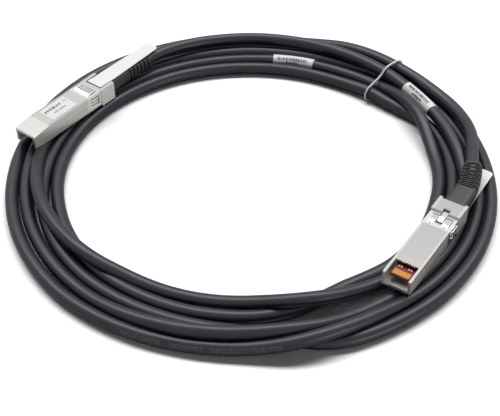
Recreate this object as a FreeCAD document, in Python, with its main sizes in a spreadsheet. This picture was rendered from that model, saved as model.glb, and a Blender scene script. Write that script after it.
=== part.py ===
import FreeCAD, Part

import math
import os

import Sketcher
from FreeCAD import Placement, Rotation, Vector

# A direct attach copper cable: a coiled round cable with a metal plug module at each end.
# Millimetres. The floor is z = 0 and the origin is under the middle of the coil.
# Each plug is drawn along +X from its nose, with its label face down at z = 0 and its latch
# face up, and is then laid on the coil by the placement of its end.

doc = FreeCAD.newDocument("direct_attach_cable")
sheet = doc.addObject("Spreadsheet::Sheet", "sizes")

driving = {
    # cable and coil
    "cable_diameter": 6.5,
    "coil_slack": 0.3,
    "tie_diameter": 1.3,
    "tie_clearance": 0.55,
    "tie_angle": 45.0,
    "wrap_label_thickness": 0.15,
    # where the two plugs lie
    "plug_a_x": -111.0,
    "plug_a_y": 15.6,
    "plug_a_rest": 8.5,
    "plug_a_heading": 52.6,
    "plug_b_x": 63.1,
    "plug_b_y": -84.6,
    "plug_b_rest": 7.5,
    "plug_b_heading": 56.8,
    # diecast body
    "plug_width": 13.6,
    "plug_height": 8.5,
    "plug_length": 57.0,
    "nose_slope": 10.5,
    "nose_drop": 1.3,
    "nose_floor": 1.4,
    "side_wall": 1.2,
    "label_wall": 1.4,
    "ledge_width": 0.6,
    "head_length": 9.5,
    "head_side_step": 0.3,
    "head_latch_step": 1.1,
    "groove_start": 8.0,
    "groove_gap": 1.5,
    "groove_height": 0.7,
    "groove_depth": 0.25,
    "seam_width": 0.3,
    "seam_depth": 0.3,
    "fit_gap": 0.05,
    # cover plate
    "cover_start": 10.0,
    "cover_thickness": 0.9,
    "cover_end_gap": 1.0,
    "ear_length": 2.2,
    "ear_thickness": 1.0,
    "ear_drop": 1.5,
    # spring finger collar
    "collar_gap": 0.8,
    "collar_length": 9.2,
    "collar_thickness": 0.2,
    "collar_recess": 0.25,
    "window_inset": 2.1,
    "window_length": 6.2,
    "finger_width": 1.1,
    "finger_edge": 1.875,
    "finger_rise": 0.6,
    "finger_ramp": 1.8,
    "boss_slot_width": 3.3,
    "stake_hole_diameter": 1.1,
    "stake_hole_inset": 1.75,
    # circuit board
    "board_start": 3.2,
    "board_rear_gap": 2.5,
    "board_side_gap": 1.0,
    "board_thickness": 1.0,
    "board_height": 5.25,
    "pad_count": 10,
    "pad_edge": 0.75,
    "pad_share": 0.625,
    "pad_length": 3.0,
    "pad_thickness": 0.05,
    "pad_inset": 0.5,
    "chip_start": 18.0,
    "chip_length": 4.9,
    "chip_width": 3.9,
    "chip_height": 1.1,
    "capacitor_start": 8.0,
    "capacitor_length": 1.0,
    "capacitor_width": 0.5,
    "capacitor_height": 0.5,
    "capacitor_edge": 1.4,
    "capacitor_pitch": 1.2,
    # latch, its pin and the slider
    "latch_width": 2.6,
    "latch_clearance": 0.35,
    "latch_reach": 7.2,
    "latch_pivot_inset": 1.3,
    "latch_pivot_height": 7.6,
    "latch_pin_diameter": 1.0,
    "latch_pin_gap": 0.05,
    "latch_top": 8.3,
    "latch_under": 7.55,
    "latch_barrel_under": 6.8,
    "boss_inset": 0.7,
    "boss_length": 2.7,
    "boss_height": 0.55,
    "boss_land": 0.4,
    "tail_reach": 5.0,
    "latch_tail_top": 7.8,
    "tail_slope": 0.2,
    "wedge_gap": 0.08,
    "slider_inset": 1.4,
    "slider_length": 1.2,
    "slider_side_gap": 0.5,
    "slider_arm": 0.4,
    "slider_bar_height": 0.5,
    "slider_bar_thickness": 0.6,
    "slider_web_top": 7.1,
    "slider_web_thickness": 0.6,
    "slider_clearance": 0.2,
    "slider_travel_gap": 1.6,
    # pull tab
    "tab_side_gap": 0.1,
    "tab_taper": 0.8,
    "tab_overhang": 5.5,
    "tab_film": 0.35,
    "tab_under": 0.15,
    "tab_loop_gap": 0.3,
    # cable end inside the plug
    "wire_diameter": 1.3,
    "wire_inset": 1.1,
    "wire_overlap": 2.5,
    "ferrule_gap": 1.2,
    "ferrule_length": 2.6,
    "ferrule_side_gap": 1.4,
    "ferrule_half_height": 2.0,
    "ferrule_height": 4.1,
    # strain relief boot
    "boot_flange_height": 1.7,
    "boot_flange_length": 2.1,
    "boot_flange_gap": 0.8,
    "boot_side_gap": 0.2,
    "boot_root_height": 7.0,
    "boot_root_centre": 4.75,
    "boot_tip_side_wall": 1.35,
    "boot_tip_top_wall": 0.95,
    "boot_tip_centre": 5.25,
    "boot_length": 33.2,
    "boot_gap": 0.3,
    "boot_straight": 8.7,
    "boot_bend_a": 8.4,
    "boot_bend_b": 25.8,
    "boot_corner": 2.2,
    "rib_slots": 7,
    "slot_root": 4.9,
    "slot_end": 3.1,
    "slot_width": 0.9,
    "slot_depth": 0.85,
    "slot_land": 1.6,
    # label on each plug
    "sticker_start": 14.8,
    "sticker_gap": 5.7,
    "sticker_width": 10.6,
    "sticker_thickness": 0.1,
}

# Sizes that follow from those above
tied = {
    "head_start": "plug_length - head_length",
    "collar_start": "head_start - collar_gap - collar_length",
    "window_start": "collar_start + window_inset",
    "finger_pitch": "(plug_width - 2 * finger_edge - finger_width) / 5",
    "stake_hole_spacing": "boss_slot_width + 2 * stake_hole_inset",
    "board_end": "head_start - board_rear_gap",
    "board_width": "plug_width - 2 * side_wall - 2 * board_side_gap",
    "pad_pitch": "(board_width - 2 * pad_edge) / (pad_count - 1 + pad_share)",
    "pad_width": "pad_share * pad_pitch",
    "latch_pivot": "head_start + latch_pivot_inset",
    "latch_front": "latch_pivot - latch_reach",
    "latch_tail": "latch_pivot + tail_reach",
    "boss_front": "latch_front + boss_inset",
    "boss_shoulder": "boss_front + boss_length",
    "slider_start": "latch_pivot + slider_inset",
    "slider_half_width": "plug_width / 2 - side_wall - slider_side_gap",
    "slider_mouth": "slider_start - slider_travel_gap",
    "wire_spread": "board_width / 2 - wire_inset",
    "wire_start": "board_end - wire_overlap",
    "ferrule_start": "slider_start + slider_length + ferrule_gap",
    "ferrule_half_width": "plug_width / 2 - side_wall - ferrule_side_gap",
    "boot_root": "plug_length + boot_gap",
    "boot_root_width": "plug_width - 2 * side_wall - 2 * boot_side_gap",
    "boot_tip_width": "cable_diameter + 2 * boot_tip_side_wall",
    "boot_tip_height": "cable_diameter + 2 * boot_tip_top_wall",
    "slot_first": "boot_straight + slot_root",
    "slot_pitch": "(boot_length - slot_first - slot_end) / (rib_slots - 1)",
    "tab_width": "2 * (slider_half_width - slider_arm - tab_side_gap)",
    "tab_tip_width": "tab_width - 2 * tab_taper",
    "tab_end": "boot_root + boot_length + tab_overhang",
    "sticker_length": "collar_start - sticker_start - sticker_gap",
}
for row, (alias, value) in enumerate([*driving.items(), *tied.items()], 1):
    sheet.set(f"A{row}", alias)
    sheet.set(f"B{row}", f"={value}")
    sheet.setAlias(f"B{row}", alias)
doc.recompute()

finished = []


def size(alias):
    return float(sheet.get(alias))


def finish(piece, label, placement=None):
    """Names a sub-part, lays it in its place and puts it on the list of finished pieces."""
    piece.Label = label
    if placement is not None:
        piece.Placement = placement
    finished.append(piece)
    return piece


# Sketches and features


def origin_part(body, role):
    return [f for f in body.Origin.OriginFeatures if f.Role == role][0]


def sketch_on(body, name, plane, lift=None):
    sketch = body.newObject("Sketcher::SketchObject", name)
    sketch.AttachmentSupport = [(origin_part(body, plane), "")]
    sketch.MapMode = "FlatFace"
    if lift is not None:
        sketch.setExpression("AttachmentOffset.Base.z", lift)
    return sketch


def bind(sketch, kind, geometry, point, start, formula):
    """Ties one coordinate of a sketch point to a formula of the sheet."""
    index = sketch.addConstraint(Sketcher.Constraint(kind, -1, 1, geometry, point, start))
    sketch.setExpression(f"Constraints[{index}]", formula)


def add_outline(sketch, corners):
    """Draws a closed outline of straight edges, each corner tied to two formulas."""
    first = sketch.GeometryCount
    count = len(corners)
    turn = 2 * math.pi / count
    spots = [Vector(9 * math.cos(turn * i + 0.3), 9 * math.sin(turn * i + 0.3), 0) for i in range(count)]
    for i in range(count):
        sketch.addGeometry(Part.LineSegment(spots[i], spots[(i + 1) % count]), False)
    for i in range(count):
        follower = first + (i + 1) % count
        sketch.addConstraint(Sketcher.Constraint("Coincident", first + i, 2, follower, 1))
    for i, (across, up) in enumerate(corners):
        bind(sketch, "DistanceX", first + i, 1, spots[i].x, across)
        bind(sketch, "DistanceY", first + i, 1, spots[i].y, up)


def outline(body, name, plane, corners, lift=None):
    sketch = sketch_on(body, name, plane, lift)
    add_outline(sketch, corners)
    return sketch


def rectangle(body, name, plane, left, right, low, high, lift=None):
    corners = [(left, low), (right, low), (right, high), (left, high)]
    return outline(body, name, plane, corners, lift)


def circle(body, name, plane, across, up, diameter, lift=None):
    sketch = sketch_on(body, name, plane, lift)
    sketch.addGeometry(Part.Circle(Vector(5, 5, 0), Vector(0, 0, 1), 1), False)
    bind(sketch, "DistanceX", 0, 3, 5, across)
    bind(sketch, "DistanceY", 0, 3, 5, up)
    index = sketch.addConstraint(Sketcher.Constraint("Diameter", 0, 2))
    sketch.setExpression(f"Constraints[{index}]", diameter)
    return sketch


def feature(body, kind, name, sketch, length):
    """A pad or pocket of that length, half of it on each side of its sketch."""
    made = body.newObject(f"PartDesign::{kind}", name)
    made.Profile = sketch
    made.SideType = "Symmetric"
    made.setExpression("Length", length)
    sketch.Visibility = False
    return made


def pad(body, name, sketch, length):
    return feature(body, "Pad", name, sketch, length)


def pocket(body, name, sketch, length):
    """A pocket that has to take material away from its body."""
    doc.recompute()
    before = body.Shape.Volume
    made = feature(body, "Pocket", name, sketch, length)
    doc.recompute()
    if body.Shape.Volume >= before - 1e-6:
        raise RuntimeError(f"{body.Name}: pocket {name} cuts nothing")
    return made


def row_of(body, name, original, axis, span, count):
    """Repeats a feature along an axis of its body."""
    made = body.newObject("PartDesign::LinearPattern", name)
    made.Originals = [original]
    made.Direction = (origin_part(body, axis), [""])
    made.Mode = "Extent"
    made.setExpression("Length", span)
    made.Occurrences = count
    body.Tip = made
    return made


# Placements of the two ends


def lay(x, y, rest, heading, latch_up):
    """Lays a plug with its nose at x, y. Turned over, its label face looks up."""
    turn = Rotation(Vector(0, 0, 1), heading)
    if latch_up:
        return Placement(Vector(x, y, rest), turn)
    over = Rotation(Vector(1, 0, 0), 180)
    return Placement(Vector(x, y, rest + size("plug_height")), turn.multiply(over))


ends = {
    "a": lay(size("plug_a_x"), size("plug_a_y"), size("plug_a_rest"), size("plug_a_heading"), False),
    "b": lay(size("plug_b_x"), size("plug_b_y"), size("plug_b_rest"), size("plug_b_heading"), True),
}


# Diecast body of the plug


def base_shell(end, placement):
    """A trough open at the nose and along the latch side, with a larger head behind the cage stop."""
    body = doc.addObject("PartDesign::Body", f"base_shell_{end}")
    side = outline(body, f"shell_side_{end}", "XZ_Plane", [
        ("0", "sizes.nose_drop"),
        ("sizes.nose_slope", "0"),
        ("sizes.plug_length", "0"),
        ("sizes.plug_length", "sizes.plug_height"),
        ("0", "sizes.plug_height"),
    ])
    pad(body, f"shell_block_{end}", side, "sizes.plug_width")
    head = rectangle(
        body, f"head_side_{end}", "XZ_Plane", "sizes.head_start", "sizes.plug_length",
        "0", "sizes.plug_height + sizes.head_latch_step",
    )
    pad(body, f"head_block_{end}", head, "sizes.plug_width + 2 * sizes.head_side_step")
    over = "sizes.plug_height + sizes.head_latch_step + 1"
    trough = outline(body, f"trough_side_{end}", "XZ_Plane", [
        ("-1", "sizes.nose_drop + sizes.nose_floor"),
        ("0", "sizes.nose_drop + sizes.nose_floor"),
        ("sizes.nose_slope", "sizes.label_wall"),
        ("sizes.plug_length + 1", "sizes.label_wall"),
        ("sizes.plug_length + 1", over),
        ("-1", over),
    ])
    narrow = "sizes.plug_width - 2 * sizes.side_wall - 2 * sizes.ledge_width"
    pocket(body, f"trough_{end}", trough, narrow)
    mouth = outline(body, f"mouth_side_{end}", "XZ_Plane", [
        ("-1", "sizes.nose_drop + sizes.nose_floor"),
        ("0", "sizes.nose_drop + sizes.nose_floor"),
        ("sizes.cover_start", "sizes.label_wall + 0.1"),
        ("sizes.cover_start", over),
        ("-1", over),
    ])
    pocket(body, f"mouth_{end}", mouth, "sizes.plug_width - 2 * sizes.side_wall")
    seat = rectangle(
        body, f"seat_side_{end}", "XZ_Plane", "sizes.cover_start - 0.5", "sizes.plug_length + 1",
        "sizes.plug_height - sizes.cover_thickness - sizes.fit_gap", over,
    )
    pocket(body, f"cover_seat_{end}", seat, "sizes.plug_width - 2 * sizes.side_wall")
    chamber = rectangle(
        body, f"chamber_side_{end}", "XZ_Plane", "sizes.head_start + 0.8", "sizes.plug_length + 1",
        "sizes.label_wall", over,
    )
    pocket(body, f"chamber_{end}", chamber, "sizes.plug_width - 2 * sizes.side_wall")
    opening = rectangle(
        body, f"opening_side_{end}", "XZ_Plane", "sizes.slider_mouth", "sizes.plug_length + 1",
        "-1", "sizes.label_wall + 0.5",
    )
    pocket(body, f"tab_opening_{end}", opening, "2 * (sizes.slider_half_width + sizes.slider_clearance)")
    for name, sign in (("left", ""), ("right", "-")):
        inner = f"{sign}(sizes.plug_width / 2 - sizes.collar_recess)"
        outer = f"{sign}(sizes.plug_width / 2 + 1)"
        band = rectangle(
            body, f"recess_{name}_{end}", "XY_Plane", "sizes.collar_start",
            "sizes.collar_start + sizes.collar_length", inner, outer,
        )
        pocket(body, f"collar_recess_{name}_{end}", band, "4 * sizes.plug_height")
        edge = f"{sign}(sizes.plug_width / 2 - sizes.side_wall / 2)"
        far_edge = f"{sign}(sizes.plug_width / 2 - sizes.side_wall / 2 - sizes.seam_width)"
        seam = rectangle(
            body, f"seam_{name}_{end}", "XY_Plane", "sizes.nose_slope", "sizes.collar_start",
            far_edge, edge,
        )
        pocket(body, f"label_seam_{name}_{end}", seam, "2 * sizes.seam_depth")
        deep = f"{sign}(sizes.plug_width / 2 - sizes.groove_depth)"
        groove = rectangle(
            body, f"groove_{name}_{end}", "XY_Plane", "sizes.groove_start", "sizes.collar_start - sizes.groove_gap",
            deep, outer, "sizes.plug_height * 0.55",
        )
        pocket(body, f"side_groove_{name}_{end}", groove, "sizes.groove_height")
    low_band = rectangle(
        body, f"recess_low_{end}", "XZ_Plane", "sizes.collar_start",
        "sizes.collar_start + sizes.collar_length", "-1", "sizes.collar_recess",
    )
    pocket(body, f"collar_recess_low_{end}", low_band, "2 * sizes.plug_width")
    high_band = rectangle(
        body, f"recess_high_{end}", "XZ_Plane", "sizes.collar_start",
        "sizes.collar_start + sizes.collar_length",
        "sizes.plug_height - sizes.collar_recess", "sizes.plug_height + 0.01",
    )
    pocket(body, f"collar_recess_high_{end}", high_band, "2 * sizes.plug_width")
    return finish(body, f"base_shell_{end}", placement)


# Cover plate of the latch side


def cover_plate(end, placement):
    """A flat plate between the side walls, stepped up over the head, with two ears for the latch pin."""
    body = doc.addObject("PartDesign::Body", f"cover_plate_{end}")
    under = "sizes.plug_height - sizes.cover_thickness"
    raised = "sizes.plug_height + sizes.head_latch_step"
    side = outline(body, f"cover_side_{end}", "XZ_Plane", [
        ("sizes.cover_start", under),
        ("sizes.head_start + sizes.cover_thickness", under),
        ("sizes.head_start + sizes.cover_thickness", f"{raised} - sizes.cover_thickness"),
        ("sizes.plug_length - sizes.cover_end_gap", f"{raised} - sizes.cover_thickness"),
        ("sizes.plug_length - sizes.cover_end_gap", raised),
        ("sizes.head_start", raised),
        ("sizes.head_start", "sizes.plug_height"),
        ("sizes.cover_start", "sizes.plug_height"),
    ])
    width = "sizes.plug_width - 2 * sizes.side_wall - 2 * sizes.fit_gap"
    pad(body, f"cover_block_{end}", side, width)
    ears = rectangle(
        body, f"ear_side_{end}", "XZ_Plane", "sizes.latch_pivot - sizes.ear_length / 2",
        "sizes.latch_pivot + sizes.ear_length / 2",
        "sizes.latch_pivot_height - sizes.ear_drop / 2", f"{raised} - sizes.cover_thickness / 2",
    )
    gap = "sizes.latch_width + 2 * sizes.latch_clearance"
    pad(body, f"ears_{end}", ears, f"{gap} + 2 * sizes.ear_thickness")
    slot = rectangle(
        body, f"slot_side_{end}", "XZ_Plane", "sizes.latch_front - 0.8",
        "sizes.latch_pivot + sizes.ear_length / 2 + 0.2", "0", f"{raised} + 1",
    )
    pocket(body, f"latch_slot_{end}", slot, gap)
    bore = circle(
        body, f"pin_circle_{end}", "XZ_Plane", "sizes.latch_pivot", "sizes.latch_pivot_height",
        "sizes.latch_pin_diameter + 2 * sizes.fit_gap",
    )
    pocket(body, f"pin_bore_{end}", bore, "2 * sizes.plug_width")
    band = rectangle(
        body, f"cover_band_{end}", "XZ_Plane", "sizes.collar_start",
        "sizes.collar_start + sizes.collar_length",
        "sizes.plug_height - sizes.collar_recess", "sizes.plug_height + 0.01",
    )
    pocket(body, f"cover_recess_{end}", band, "2 * sizes.plug_width")
    return finish(body, f"cover_plate_{end}", placement)


# Spring finger collar


def arch(foot, reach, sign=""):
    """Corners of one bowed finger in its own plane, from its front foot to its rear foot."""
    start = "(sizes.window_start - 0.4)"
    stop = "(sizes.window_start + sizes.window_length + 0.4)"
    flat = f"{sign}({foot})"
    skin = f"{sign}({foot} + sizes.collar_thickness)"
    crest = f"{sign}({reach})"
    crest_skin = f"{sign}({reach} + sizes.collar_thickness)"
    return [
        (start, flat),
        (f"{start} + 0.2", flat),
        (f"{start} + sizes.finger_ramp", crest),
        (f"{stop} - sizes.finger_ramp", crest),
        (f"{stop} - 0.2", flat),
        (stop, flat),
        (stop, skin),
        (f"{stop} - 0.2", skin),
        (f"{stop} - sizes.finger_ramp", crest_skin),
        (f"{start} + sizes.finger_ramp", crest_skin),
        (f"{start} + 0.2", skin),
        (start, skin),
    ]


def emi_collar(end, placement):
    """A stamped band round all four sides, with rows of bowed fingers over open windows."""
    body = doc.addObject("PartDesign::Body", f"emi_collar_{end}")
    wide = "sizes.plug_width / 2 - sizes.collar_recess + sizes.fit_gap"
    low = "sizes.collar_recess - sizes.fit_gap"
    high = "sizes.plug_height - sizes.collar_recess + sizes.fit_gap"
    skin = "sizes.collar_thickness"
    ring = sketch_on(body, f"collar_ring_{end}", "YZ_Plane", "sizes.collar_start + sizes.collar_length / 2")
    for extra in (skin, "0"):
        add_outline(ring, [
            (f"-({wide} + {extra})", f"{low} - {extra}"),
            (f"{wide} + {extra}", f"{low} - {extra}"),
            (f"{wide} + {extra}", f"{high} + {extra}"),
            (f"-({wide} + {extra})", f"{high} + {extra}"),
        ])
    pad(body, f"collar_band_{end}", ring, "sizes.collar_length - 2 * sizes.fit_gap")
    stop = "sizes.window_start + sizes.window_length"
    span = "5 * sizes.finger_pitch + sizes.finger_width"
    face = rectangle(body, f"face_windows_{end}", "XZ_Plane", "sizes.window_start", stop, "-1", "sizes.plug_height + 1")
    pocket(body, f"face_window_{end}", face, f"{span} + 0.6")
    flank_span = "2 * sizes.finger_pitch + sizes.finger_width"
    flank = rectangle(
        body, f"flank_windows_{end}", "XY_Plane", "sizes.window_start", stop,
        "-sizes.plug_width", "sizes.plug_width", "sizes.plug_height / 2",
    )
    pocket(body, f"flank_window_{end}", flank, f"{flank_span} + 0.6")
    slot = rectangle(
        body, f"boss_slot_side_{end}", "XZ_Plane", "sizes.window_start - 0.2",
        "sizes.collar_start + sizes.collar_length + 1", "sizes.plug_height / 2", "sizes.plug_height + 1",
    )
    pocket(body, f"boss_slot_{end}", slot, "sizes.boss_slot_width")
    for name, side in (("left", ""), ("right", "-")):
        hole = circle(
            body, f"stake_circle_{name}_{end}", "XY_Plane", "sizes.collar_start + 1.1",
            f"{side}sizes.stake_hole_spacing / 2", "sizes.stake_hole_diameter", "sizes.plug_height",
        )
        pocket(body, f"stake_hole_{name}_{end}", hole, "2")
    rise = "sizes.finger_rise"
    below = f"-({low}) + {rise}"
    first = outline(
        body, f"label_finger_side_{end}", "XZ_Plane", arch(f"-({low})", below, "-"),
        "2.5 * sizes.finger_pitch",
    )
    finger = pad(body, f"label_finger_{end}", first, "sizes.finger_width")
    row_of(body, f"label_fingers_{end}", finger, "Y_Axis", "5 * sizes.finger_pitch", 6)
    near = "sizes.boss_slot_width / 2 + 0.75"
    for name, lift in (("left", f"{near} + 1.2 * sizes.finger_pitch"), ("right", f"-({near})")):
        side = outline(
            body, f"latch_finger_side_{name}_{end}", "XZ_Plane", arch(high, f"{high} + {rise}"), lift,
        )
        finger = pad(body, f"latch_finger_{name}_{end}", side, "sizes.finger_width * 0.7")
        row_of(body, f"latch_fingers_{name}_{end}", finger, "Y_Axis", "sizes.finger_pitch * 1.2", 3)
    for name, sign in (("left", ""), ("right", "-")):
        side = outline(
            body, f"flank_finger_side_{name}_{end}", "XY_Plane", arch(wide, f"{wide} + {rise}", sign),
            "sizes.plug_height / 2 - sizes.finger_pitch",
        )
        finger = pad(body, f"flank_finger_{name}_{end}", side, "sizes.finger_width")
        row_of(body, f"flank_fingers_{name}_{end}", finger, "Z_Axis", "2 * sizes.finger_pitch", 3)
    return finish(body, f"emi_collar_{end}", placement)


# Circuit board and what is soldered to it


def circuit_board(end, placement):
    """The board that ends in the mating edge, with a row of gold pads on each of its faces."""
    body = doc.addObject("PartDesign::Body", f"circuit_board_{end}")
    side = rectangle(
        body, f"board_side_{end}", "XZ_Plane", "sizes.board_start", "sizes.board_end",
        "sizes.board_height", "sizes.board_height + sizes.board_thickness",
    )
    pad(body, f"board_slab_{end}", side, "sizes.board_width")
    contact = rectangle(
        body, f"pad_side_{end}", "XZ_Plane", "sizes.board_start + sizes.pad_inset",
        "sizes.board_start + sizes.pad_inset + sizes.pad_length",
        "sizes.board_height - sizes.pad_thickness",
        "sizes.board_height + sizes.board_thickness + sizes.pad_thickness",
        "(sizes.pad_count - 1) / 2 * sizes.pad_pitch",
    )
    first = pad(body, f"first_pad_{end}", contact, "sizes.pad_width")
    span = "(sizes.pad_count - 1) * sizes.pad_pitch"
    row_of(body, f"pad_row_{end}", first, "Y_Axis", span, int(size("pad_count")))
    return finish(body, f"circuit_board_{end}", placement)


def block(name, x, y, z, length, width, height):
    """A plain box, each size and each corner coordinate tied to a formula."""
    made = doc.addObject("Part::Box", name)
    made.setExpression("Length", length)
    made.setExpression("Width", width)
    made.setExpression("Height", height)
    made.setExpression("Placement.Base.x", x)
    made.setExpression("Placement.Base.y", y)
    made.setExpression("Placement.Base.z", z)
    return made


def carried(name, members, placement):
    """One finished piece, or one set of like pieces, laid in place with its plug."""
    group = doc.addObject("Part::Compound", name)
    group.Links = members
    return finish(group, name, placement)


def board_parts(end, placement):
    """The memory chip and the four coupling capacitors, on the face under the latch side."""
    top = "sizes.board_height + sizes.board_thickness"
    chip = block(
        f"chip_{end}", "sizes.chip_start", "-sizes.chip_width / 2", top,
        "sizes.chip_length", "sizes.chip_width", "sizes.chip_height",
    )
    carried(f"memory_chip_{end}", [chip], placement)
    row = []
    left = "-(sizes.board_width / 2 - sizes.capacitor_edge)"
    right = "sizes.board_width / 2 - sizes.capacitor_edge - sizes.capacitor_width"
    places = (left, f"{left} + sizes.capacitor_pitch", f"{right} - sizes.capacitor_pitch", right)
    for index, across in enumerate(places):
        row.append(block(
            f"capacitor_{index + 1}_{end}", "sizes.capacitor_start", across, top,
            "sizes.capacitor_length", "sizes.capacitor_width", "sizes.capacitor_height",
        ))
    carried(f"capacitors_{end}", row, placement)


# Tubes of straight runs and tangent arcs


def rod_face(spot, ahead, radius, sides):
    """A many-sided face square to a rod, with two of its flats level."""
    level = Vector(0, 0, 1).cross(ahead)
    across = level.normalize() if level.Length > 0.01 else Vector(1, 0, 0)
    up = ahead.cross(across).normalize()
    corners = []
    for index in range(sides + 1):
        turn = 2 * math.pi * (index + 0.5) / sides
        corners.append(spot + across * (radius * math.sin(turn)) + up * (radius * math.cos(turn)))
    corners[-1] = corners[0]
    return Part.Face(Part.makePolygon(corners))


def tube(points, radius, sides):
    """A rod through the points, each corner a tangent arc. Gives the solid, its length and the radii."""
    lengths = []
    radii = []
    here = points[0]
    ahead = Vector(points[1] - points[0]).normalize()
    face = rod_face(here, ahead, radius, sides)
    solid = None
    for i in range(1, len(points)):
        last = i == len(points) - 1
        stop = points[i]
        if not last:
            onward = points[i + 1] - points[i]
            reach = 0.45 * min((points[i] - points[i - 1]).Length, onward.Length)
            stop = points[i] - ahead * reach
            onward = onward.normalize()
        run = face.extrude(stop - here)
        solid = run if solid is None else solid.fuse(run)
        lengths.append((stop - here).Length)
        if last:
            break
        turn = ahead.getAngle(onward)
        bend = reach / math.tan(turn / 2)
        axis = ahead.cross(onward).normalize()
        centre = stop + axis.cross(ahead) * bend
        face.translate(stop - here)
        solid = solid.fuse(face.revolve(centre, axis, math.degrees(turn)))
        face.rotate(centre, axis, math.degrees(turn))
        radii.append(bend)
        lengths.append(bend * turn)
        here = points[i] + onward * reach
        ahead = onward
    return solid, sum(lengths), radii


# Cable end inside the plug


def wire_pairs(end, placement):
    """Two screened pairs, one soldered to each face of the board, held together at the crimp."""
    radius = size("wire_diameter") / 2
    low = size("board_height") - radius - 0.02
    high = size("board_height") + size("board_thickness") + radius + 0.02
    for name, first, last in (("upper", high, 5.0), ("lower", low, 3.3)):
        shape = None
        for side in (-1, 1):
            across = side * size("wire_spread")
            points = [
                Vector(size("wire_start"), across, first),
                Vector(size("board_end") + 0.5, across, first),
                Vector(size("slider_start"), across * 0.85, last),
                Vector(size("ferrule_start") - 0.02, across * 0.85, last),
            ]
            wire = tube(points, radius, 8)[0]
            shape = wire if shape is None else shape.fuse(wire)
        foil = Part.makeBox(
            1.2, 2 * size("wire_spread") + 0.4, 1.1,
            Vector(size("ferrule_start") - 1.22, -size("wire_spread") - 0.2, last - 0.55),
        )
        pair = doc.addObject("Part::Feature", f"wire_pair_{name}_{end}")
        pair.Shape = shape.fuse(foil).removeSplitter()
        finish(pair, f"wire_pair_{name}_{end}", placement)


def crimp_ferrule(end, placement):
    """The oval metal sleeve crimped on the end of the cable."""
    body = doc.addObject("PartDesign::Body", f"crimp_ferrule_{end}")
    across = "sizes.ferrule_half_width"
    up = "sizes.ferrule_half_height"
    mid = "sizes.ferrule_height"
    lift = "sizes.ferrule_start + sizes.ferrule_length / 2"
    section = outline(body, f"ferrule_section_{end}", "YZ_Plane", [
        (f"-{across}", f"{mid} - {up} / 2"),
        (f"-{across} + {up} / 2", f"{mid} - {up}"),
        (f"{across} - {up} / 2", f"{mid} - {up}"),
        (f"{across}", f"{mid} - {up} / 2"),
        (f"{across}", f"{mid} + {up} / 2"),
        (f"{across} - {up} / 2", f"{mid} + {up}"),
        (f"-{across} + {up} / 2", f"{mid} + {up}"),
        (f"-{across}", f"{mid} + {up} / 2"),
    ], lift)
    pad(body, f"ferrule_sleeve_{end}", section, "sizes.ferrule_length")
    return finish(body, f"crimp_ferrule_{end}", placement)


# Latch and its release


def latch(end, placement):
    """A rocker with a wedge boss in front, a barrel on its pin and a tail that the slider lifts."""
    body = doc.addObject("PartDesign::Body", f"latch_{end}")
    reach = "sizes.slider_start + sizes.slider_length"
    under = "sizes.slider_web_top + sizes.wedge_gap"
    side = outline(body, f"latch_side_{end}", "XZ_Plane", [
        ("sizes.latch_front", "sizes.latch_under"),
        ("sizes.latch_pivot - 1.1", "sizes.latch_under"),
        ("sizes.latch_pivot - 0.7", "sizes.latch_barrel_under"),
        ("sizes.latch_pivot + 0.7", "sizes.latch_barrel_under"),
        ("sizes.latch_pivot + 1.1", under),
        (reach, under),
        ("sizes.latch_tail", f"{under} - sizes.tail_slope * (sizes.latch_tail - ({reach}))"),
        ("sizes.latch_tail", "sizes.latch_tail_top"),
        ("sizes.latch_pivot + 1.3", "sizes.latch_tail_top"),
        ("sizes.latch_pivot + 0.7", "sizes.latch_top"),
        ("sizes.boss_shoulder", "sizes.latch_top"),
        ("sizes.boss_shoulder", "sizes.plug_height + sizes.boss_height"),
        ("sizes.boss_shoulder - sizes.boss_land", "sizes.plug_height + sizes.boss_height"),
        ("sizes.boss_front", "sizes.latch_top"),
        ("sizes.latch_front", "sizes.latch_top"),
    ])
    pad(body, f"latch_bar_{end}", side, "sizes.latch_width")
    bore = circle(
        body, f"latch_bore_circle_{end}", "XZ_Plane", "sizes.latch_pivot", "sizes.latch_pivot_height",
        "sizes.latch_pin_diameter + 2 * sizes.latch_pin_gap",
    )
    pocket(body, f"latch_bore_{end}", bore, "2 * sizes.latch_width")
    return finish(body, f"latch_{end}", placement)


def latch_pin(end, placement):
    """The round pin that the latch turns on, held in the ears of the cover plate."""
    body = doc.addObject("PartDesign::Body", f"latch_pin_{end}")
    section = circle(
        body, f"pin_section_{end}", "XZ_Plane", "sizes.latch_pivot", "sizes.latch_pivot_height",
        "sizes.latch_pin_diameter",
    )
    gap = "sizes.latch_width + 2 * sizes.latch_clearance"
    pad(body, f"pin_rod_{end}", section, f"{gap} + 2 * sizes.ear_thickness + 0.1")
    return finish(body, f"latch_pin_{end}", placement)


def slider(end, placement):
    """A bent frame round the wires: its upper web lifts the latch tail when the tab is pulled."""
    body = doc.addObject("PartDesign::Body", f"slider_{end}")
    ring = sketch_on(body, f"slider_ring_{end}", "YZ_Plane", "sizes.slider_start + sizes.slider_length / 2")
    wide = "sizes.slider_half_width"
    low = "sizes.slider_bar_height"
    high = "sizes.slider_web_top"
    add_outline(ring, [
        (f"-{wide}", low),
        (wide, low),
        (wide, high),
        (f"-{wide}", high),
    ])
    add_outline(ring, [
        (f"-({wide} - sizes.slider_arm)", f"{low} + sizes.slider_bar_thickness"),
        (f"{wide} - sizes.slider_arm", f"{low} + sizes.slider_bar_thickness"),
        (f"{wide} - sizes.slider_arm", f"{high} - sizes.slider_web_thickness"),
        (f"-({wide} - sizes.slider_arm)", f"{high} - sizes.slider_web_thickness"),
    ])
    pad(body, f"slider_frame_{end}", ring, "sizes.slider_length")
    return finish(body, f"slider_{end}", placement)


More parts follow.
